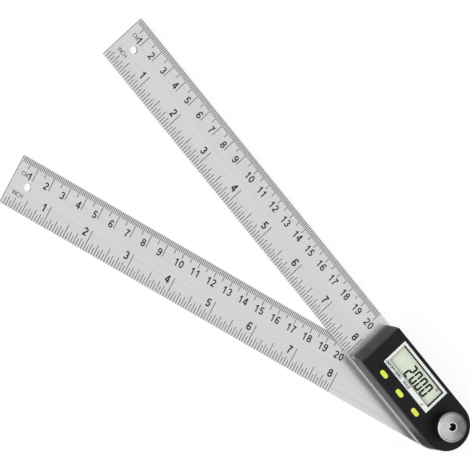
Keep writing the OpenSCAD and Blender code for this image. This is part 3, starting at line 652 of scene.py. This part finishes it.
housing = solid_copy("housing")
break_edges(housing, housing_edge, 3, face_level)
for face in housing.faces:
    on_face = all(v.co.z > (face_level - face_reach) * mm for v in face.verts)
    face.material_index = 0 if on_face else 1
face_dark, face_light = (0.0035, 0.0035, 0.0038), (0.006, 0.006, 0.0063)
wall_dark, wall_light = (0.0075, 0.0075, 0.008), (0.012, 0.012, 0.0125)
add_piece("housing_moulding", housing, "display_arm", [
    black_moulding("housing face", face_dark, face_light, 0.34, 0.42, specular=0.18),
    black_moulding("housing walls, painted reflection and shade", wall_dark, wall_light, 0.3, 0.38, specular=0.5, with_painted_shade=True),
], replaced=["housing"])

# ---------------------------------------------------------------------------
# Display: grey-green liquid crystal glass at the bottom of the window, edged
# by a thin black gasket, its digits driven dark, under a clear acrylic lens.
# ---------------------------------------------------------------------------
window_left, window_right = -46.9, -14.1
window_bottom, window_top = -1.6, 9.7
glass_level = 14.1
reading = "2000"
lit_segments = {"2": "abged", "0": "abcdef"}
figure_height = 8.3
figure_width = 3.5
figure_base = -0.36
figure_lefts = (-35.8, -31.45, -27.1, -22.8)
figure_slant = math.tan(math.radians(4))
segment_width = 1.1
segment_gap = 0.04
segment_relief = 0.03
point_left, point_side = -27.55, 0.6
degree_x, degree_y, degree_pen = -17.0, 8.4, 0.42
degree_half_width, degree_half_height = 0.62, 0.72
gasket_width = 0.28
gasket_relief = 0.05

glass, tree, shader = new_finish("liquid crystal glass", Specular_IOR_Level=0.3)
cloudy = place_effect(tree, handling, Vector=part_coordinates(tree), Size=0.009)
tint(tree, shader, (0.72, 0.81, 0.655), (0.775, 0.835, 0.70), cloudy["Mask"])
vary_roughness(tree, shader, 0.30, 0.40, cloudy["Mask"])
dress(glass, "display_glass")


def segment_outlines(left, lit):
    """The lit segments of one figure, named a to g clockwise from the top with g across the middle."""
    h, w, s, g = figure_height, figure_width, segment_width, segment_gap
    mid = h / 2

    def mirrored(outline, sideways, upside_down):
        """The outline of a segment's mirror image in the figure."""
        return [(w - x if sideways else x, h - y if upside_down else y) for x, y in outline]

    across = [(0.4 * s, h), (w - 0.4 * s, h), (w - 0.25 * s - g, h - 0.12 * s),
              (w - s - g, h - s), (s + g, h - s), (0.25 * s + g, h - 0.12 * s)]
    beside = [(w - 0.25 * s, h - 0.12 * s - g), (w, h - 0.4 * s - g), (w, mid + 0.38 * s),
              (w - 0.5 * s, mid + 0.12 * s), (w - s, mid + 0.38 * s), (w - s, h - s - g)]
    centre = [(0.5 * s, mid), (s, mid + 0.5 * s), (w - s, mid + 0.5 * s),
              (w - 0.5 * s, mid), (w - s, mid - 0.5 * s), (s, mid - 0.5 * s)]
    shapes = {
        "a": across, "b": beside, "c": mirrored(beside, False, True), "d": mirrored(across, False, True),
        "e": mirrored(beside, True, True), "f": mirrored(beside, True, False), "g": centre}
    return [[(left + x + y * figure_slant, figure_base + y) for x, y in shapes[name]] for name in lit]


def on_glass(solid, outlines, relief):
    """Lays outlines on the display's glass as one thin plate."""
    lay_plate(solid, outlines, glass_level - print_sink, glass_level + relief)


def driven_segment(name, dark, light, specular):
    """A segment of the liquid crystal that is driven dark, faintly grainy."""
    finish, tree, shader = new_finish(name, Roughness=0.4, Specular_IOR_Level=specular)
    grainy = place_effect(tree, moulded, Vector=part_coordinates(tree), Size=0.0004)
    tint(tree, shader, dark, light, grainy["Shade"])
    return finish


digits = bmesh.new()
for left, figure in zip(figure_lefts, reading):
    for outline in segment_outlines(left, lit_segments[figure]):
        on_glass(digits, [outline], segment_relief)
decimal_point = bar(point_left, figure_base, point_left + point_side, figure_base + point_side)
on_glass(digits, [decimal_point], segment_relief)
add_piece("display_digits", digits, "display_arm", [
    driven_segment("driven segment", (0.0010, 0.0014, 0.0006), (0.0025, 0.003, 0.002), specular=0.08)])

degree = bmesh.new()
oval = ring(degree_x, degree_y, degree_half_width, degree_half_height)
on_glass(degree, ribbon(oval, degree_pen), segment_relief)
add_piece("degree_ring", degree, "display_arm", [
    driven_segment("half-driven segment", (0.13, 0.15, 0.115), (0.18, 0.20, 0.16), specular=0.1)])

# The gasket lies on the glass, along all four sides of the window
gasket = bmesh.new()
on_glass(gasket, [
    bar(window_left, window_bottom, window_right, window_bottom + gasket_width),
    bar(window_left, window_top - gasket_width, window_right, window_top),
    bar(window_left, window_bottom, window_left + gasket_width, window_top),
    bar(window_right - gasket_width, window_bottom, window_right, window_top)], gasket_relief)
gasket_foam = moulding("black gasket foam", (0.003, 0.003, 0.003), (0.007, 0.007, 0.007), 0.7, 0.9,
                       Specular_IOR_Level=0.1)
add_piece("display_gasket", gasket, "display_arm", [gasket_foam])

# The lens is clear seen straight on, and shows more of its surface at a slant
lens, tree, shader = new_finish("clear acrylic", Roughness=0.05, IOR=1.49)
slant = maths(tree, "POWER", put(tree, "LayerWeight", {"Blend": 0.5}).outputs["Facing"], 4.0)
tree.links.new(ramp(tree, slant, low=0.01, high=0.8), shader.inputs["Alpha"])
touched = place_effect(tree, handling, Vector=part_coordinates(tree), Size=0.010)
tint(tree, shader, (0.55, 0.58, 0.57), (0.70, 0.72, 0.71), touched["Mask"])
dress(lens, "display_lens")

# ---------------------------------------------------------------------------
# Display frame: a thin white moulding let into the housing's face round the
# window, its inner edge blackened against stray light, with small labels
# printed on its wide side, each beside its button.
# ---------------------------------------------------------------------------
frame_level = 16.4
frame_edge = 0.1 * mm
label_base, label_height, label_pen, label_relief = -3.6, 1.45, 0.235, 0.02
# The labels: left end and spacing; the last is a small angle sign
label_words = {"ON/OFF/ZERO": (-47.7, 1.19), "HOLD": (-33.5, 1.25), "<": (-18.3, 1.0)}

surround = solid_copy("display_frame")
break_edges(surround, frame_edge, 2, frame_level)
for face in surround.faces:
    middle = face.calc_center_median() / mm
    in_window = (window_left - near < middle.x < window_right + near
                 and window_bottom - near < middle.y < window_top + near)
    face.material_index = 1 if in_window and stands_upright(face) else 0
white_plastic = moulding("white frame plastic", (0.79, 0.80, 0.79), (0.85, 0.86, 0.85), 0.35, 0.5,
                         relief=0.000003)
black_paint = moulding("blackened window edge", (0.004, 0.004, 0.004), (0.008, 0.008, 0.008), 0.5, 0.65,
                       relief=0.000003, Specular_IOR_Level=0.2)
add_piece("display_frame_moulding", surround, "display_arm", [white_plastic, black_paint],
          replaced=["display_frame"])

labels = bmesh.new()
for words, (left, spacing) in label_words.items():
    write_line(labels, words, left, label_base, label_height, label_pen,
               frame_level - print_sink, frame_level + label_relief, spacing)
label_ink, tree, shader = new_finish("grey label ink", Roughness=0.6)
patchy = place_effect(tree, handling, Vector=part_coordinates(tree), Size=0.0006)
tint(tree, shader, (0.010, 0.010, 0.016), (0.028, 0.028, 0.038), patchy["Mask"])
add_piece("frame_labels", labels, "display_arm", [label_ink])

# ---------------------------------------------------------------------------
# Buttons: lime yellow mouldings with rounded tops, with a painted highlight that makes them paler along their
# edges, each in its own slot in the housing's face.
# ---------------------------------------------------------------------------
button_level = 16.8
button_round = 0.4 * mm

button_plastic, tree, shader = new_finish("lime button plastic, painted rim light", Coat_Weight=0.4, Coat_Roughness=0.2)
skin = place_effect(tree, moulded, Vector=part_coordinates(tree), Size=0.0005)
# Painted highlight: the colour goes paler along the rounded edges, found by the edge wear group
pale = place_effect(tree, edge_wear, Radius=0.0007, Reach=1.0)
grain_and_painted_rim_light = maths(tree, "ADD", maths(tree, "MULTIPLY", skin["Shade"], 0.25), pale["Mask"], clamped=True)
tint(tree, shader, (0.70, 0.76, 0.035), (0.90, 0.92, 0.28), grain_and_painted_rim_light)
vary_roughness(tree, shader, 0.3, 0.42, skin["Height"])
add_relief(tree, shader, skin["Height"], 0.000004)
for body in ("on_off", "hold", "mode"):
    node = body + "_button"
    button = solid_copy(node)
    break_edges(button, button_round, 4, button_level)
    add_piece(node + "_cap", button, body, [button_plastic], replaced=[node])

# ---------------------------------------------------------------------------
# Lock knob: a turned steel core, faced, chamfered, drilled and lightly cut by one ring, with a bright land
# round its dark threaded bore. Its face, chamfer and ring are painted light towards the lamp and painted dark
# away from it, and the ring is darker still as painted shade. It is pressed into a black knurled grip, and
# both turn on a keyed steel washer.
# ---------------------------------------------------------------------------
knob_level = 17.3
knob_radius = 7.85
knob_height = 6.7
grip_height = 5.5
grip_edge = 0.12 * mm
hub_radius = 4.3
pocket_radius, pocket_height = 3.0, 0.9
bore_radius = 2.0
bore_bevel = 0.06
land_width = 0.65
corner_break = 0.08
face_inset, inner_face_inset = 0.56, 1.02
lathe_steps = 160

# A faced disc's painted highlight: light to the given Side of the axis and painted shade on the other, broken
# by fine painted rays from the centre
painted_sheen, given, result = new_effect("faced disc, painted light and shade", {"Vector": None, "Side": None, "Rays": 0.25}, ["Mask"])
across = put(painted_sheen, "VectorMath", {0: given["Vector"], 1: (1, 1, 0)}, operation="MULTIPLY").outputs[0]
spoke = put(painted_sheen, "VectorMath", {0: across}, operation="NORMALIZE").outputs[0]
toward = put(painted_sheen, "VectorMath", {0: spoke, 1: given["Side"]}, operation="DOT_PRODUCT").outputs["Value"]
rays = put(painted_sheen, "TexNoise", {"Vector": spoke, "Scale": 5.0, "Detail": 6.0, "Roughness": 0.7}).outputs["Fac"]
uneven = maths(painted_sheen, "MULTIPLY", ramp(painted_sheen, rays, 0.3, 0.7, -0.5, 0.5), given["Rays"])
feed(painted_sheen, result, {"Mask": maths(painted_sheen, "ADD", ramp(painted_sheen, toward, -1.0), uneven, clamped=True)})


def faced_metal(name, dark, light, rays, smooth=0.2, rough=0.34, painted_light_side=237):
    """Metal faced on a lathe: gloss drawn round the axis, a painted highlight on one side and painted shade
    on the other, and the tool's rings across it.
    """
    finish, tree, shader = new_finish(name, Metallic=1.0, Anisotropic=0.6)
    place = part_coordinates(tree)
    # The painted highlight faces this side, towards the lamp
    angle = math.radians(painted_light_side)
    painted_light_mask = place_effect(tree, painted_sheen, Vector=place, Side=(math.cos(angle), math.sin(angle), 0), Rays=rays)
    marks = place_effect(tree, turning, Vector=place, Pitch=0.0001)
    banded = ramp(tree, marks["Ring"], low=-0.05, high=0.05)
    # Painted light and shade: the colour goes from dark to light towards that side
    tint(tree, shader, dark, light, maths(tree, "ADD", painted_light_mask["Mask"], banded, clamped=True))
    vary_roughness(tree, shader, smooth, rough, marks["Band"])
    add_relief(tree, shader, marks["Ring"], 0.000001)
    around = put(tree, "Tangent", direction_type="RADIAL", axis="Z")
    tree.links.new(around.outputs[0], shader.inputs["Tangent"])
    return finish


def turned(profile, steps):
    """A ring-shaped solid turned from a closed profile of (radius, height, finish) in millimetres."""
    solid = bmesh.new()
    loops = []
    for i in range(steps):
        x, y = math.cos(2 * math.pi * i / steps), math.sin(2 * math.pi * i / steps)
        loops.append([solid.verts.new((r * x * mm, r * y * mm, z * mm)) for r, z, _ in profile])
    for i in range(steps):
        here, after = loops[i], loops[(i + 1) % steps]
        for k, (_, _, finish) in enumerate(profile):
            k2 = (k + 1) % len(profile)
            solid.faces.new([here[k], after[k], after[k2], here[k2]]).material_index = finish
    return solid


# The core's finishes, by their places in the list that its piece is given
faced, chamfered, land, thread, cut_ring = range(5)
# How far in from the rim and down from the face the chamfer's and the cut ring's points lie
chamfer_points = ((0, 0.50), (0.12, 0.30), (0.44, 0.04))
cut_ring_points = ((0.66, 0), (0.76, 0.08), (0.92, 0.08))
# The core's profile: each point's radius and height, and the finish from there to the next point
profile = [(pocket_radius, 0, thread), (hub_radius, 0, thread), (hub_radius, grip_height, thread),
           (knob_radius - corner_break, grip_height, chamfered),
           (knob_radius, grip_height + corner_break, chamfered)]
profile += [(knob_radius - inward, knob_height - down, chamfered) for inward, down in chamfer_points]
profile += [(knob_radius - face_inset, knob_height, faced)]
profile += [(knob_radius - inward, knob_height - down, cut_ring) for inward, down in cut_ring_points]
profile += [(knob_radius - inner_face_inset, knob_height, faced),
            (bore_radius + land_width, knob_height, land), (bore_radius + bore_bevel, knob_height, thread),
            (bore_radius, knob_height - bore_bevel, thread),
            (bore_radius, pocket_height, thread), (pocket_radius, pocket_height, thread)]
core = turned([(r, knob_level + z, finish) for r, z, finish in profile], lathe_steps)
add_piece("knob_core_turned", core, "lock_knob", [
    faced_metal("faced knob metal, painted light and shade", (0.18, 0.18, 0.18), (0.57, 0.57, 0.57), 0.4),
    faced_metal("chamfered knob metal, painted light and shade", (0.03, 0.03, 0.03), (0.46, 0.46, 0.46), 0.2, 0.42, 0.55,
                painted_light_side=268),
    turned_metal("bright ring round the bore", (0.56, 0.56, 0.56), (0.68, 0.68, 0.68), 0.25, 0.35),
    turned_metal("dark oiled thread", (0.010, 0.010, 0.010), (0.03, 0.03, 0.03), 0.5, 0.6, pitch=0.0007),
    # Painted shade: the cut ring is coloured darker than the face, as if its groove were in shadow
    faced_metal("cut ring in the knob metal, painted shade", (0.06, 0.06, 0.06), (0.36, 0.36, 0.36), 0.2),
], replaced=["knob_core"])

grip = solid_copy("knob_grip")
break_edges(grip, grip_edge, 1, knob_level, knob_level + grip_height)
knurled = moulding("knurled grip", (0.0025, 0.0025, 0.003), (0.005, 0.005, 0.0055), 0.45, 0.6,
                   Specular_IOR_Level=0.2)
add_piece("knob_grip_knurled", grip, "lock_knob", [knurled],
          replaced=["knob_grip"], smooth_below=25)
dress(turned_metal("keyed washer steel", (0.48, 0.48, 0.49), (0.60, 0.60, 0.60), 0.25, 0.38), "key_washer")

# ---------------------------------------------------------------------------
# Studio: plain pale floor, an even white surround, and one broad soft lamp.
# The camera stands where the photograph was taken from.
# ---------------------------------------------------------------------------
floor_drop = 0.05 * mm
floor_half = 8.0
floor_glow_seen = 0.90
floor_glow_mirrored = 0.30
surround_light = 0.55
lamp_light = 1.95
lamp_angle = math.radians(38)
lamp_from = Vector((-0.50, -0.62, 0.85))
camera_target = Vector((-146.3, -19.0, 0.0)) * mm
camera_from = Vector((-0.2818, -0.2318, 0.9311))
camera_distance = 5.157
camera_up = Vector((-0.7610, 0.6487, 0.0))
camera_lens = 780
camera_sensor = 36
camera_far_end = 100

scene = bpy.context.scene
scene.view_settings.view_transform = "Standard"

# The surround is white where the camera, metal or glass sees it, and lights the object less strongly
world = bpy.data.worlds.new("white surround")
scene.world = world
world.use_nodes = True
tree = world.node_tree
path = put(tree, "LightPath").outputs
seen = maths(tree, "MAXIMUM", path["Is Camera Ray"], path["Is Glossy Ray"])
seen = maths(tree, "MAXIMUM", seen, path["Is Transmission Ray"])
strength = ramp(tree, seen, low=surround_light)
feed(tree, tree.nodes["Background"], {"Color": (1, 1, 1, 1), "Strength": strength})

# Most of what the camera sees of the floor is its own even white; the rest is lit, and holds the shadow
paper, tree, shader = new_finish("pale paper", Roughness=0.9, Specular_IOR_Level=0.0, Base_Color=(1, 1, 1, 1))
path = put(tree, "LightPath").outputs
seen = maths(tree, "MAXIMUM", path["Is Camera Ray"], path["Is Transmission Ray"])
seen = maths(tree, "MULTIPLY", seen, floor_glow_seen)
mirrored = maths(tree, "MULTIPLY", path["Is Glossy Ray"], floor_glow_mirrored)
glow = put(tree, "Emission", {"Color": (1, 1, 1, 1), "Strength": 1.0}).outputs[0]
both = put(tree, "MixShader", {0: maths(tree, "MAXIMUM", seen, mirrored), 1: shader.outputs[0], 2: glow})
tree.links.new(both.outputs[0], tree.nodes["Material Output"].inputs["Surface"])

floor_mesh = bpy.data.meshes.new("floor")
corners = [(x * floor_half, y * floor_half, -floor_drop) for x, y in ((-1, -1), (1, -1), (1, 1), (-1, 1))]
floor_mesh.from_pydata(corners, [], [(0, 1, 2, 3)])
floor_mesh.materials.append(paper)
floor = bpy.data.objects.new("floor", floor_mesh)
scene.collection.objects.link(floor)

lamp = bpy.data.lights.new("soft lamp", "SUN")
lamp.energy = lamp_light
lamp.angle = lamp_angle
lamp_object = bpy.data.objects.new("soft_lamp", lamp)
lamp_object.rotation_euler = lamp_from.to_track_quat("Z", "Y").to_euler()
scene.collection.objects.link(lamp_object)

camera = bpy.data.cameras.new("camera")
camera.lens = camera_lens
camera.sensor_width = camera_sensor
camera.clip_end = camera_far_end
away = camera_from.normalized()
right = camera_up.cross(away).normalized()
upward = away.cross(right)
stand = Matrix((right, upward, away)).transposed().to_4x4()
stand.translation = camera_target + away * camera_distance
camera_object = bpy.data.objects.new("camera", camera)
camera_object.matrix_world = stand
scene.collection.objects.link(camera_object)
scene.camera = camera_object
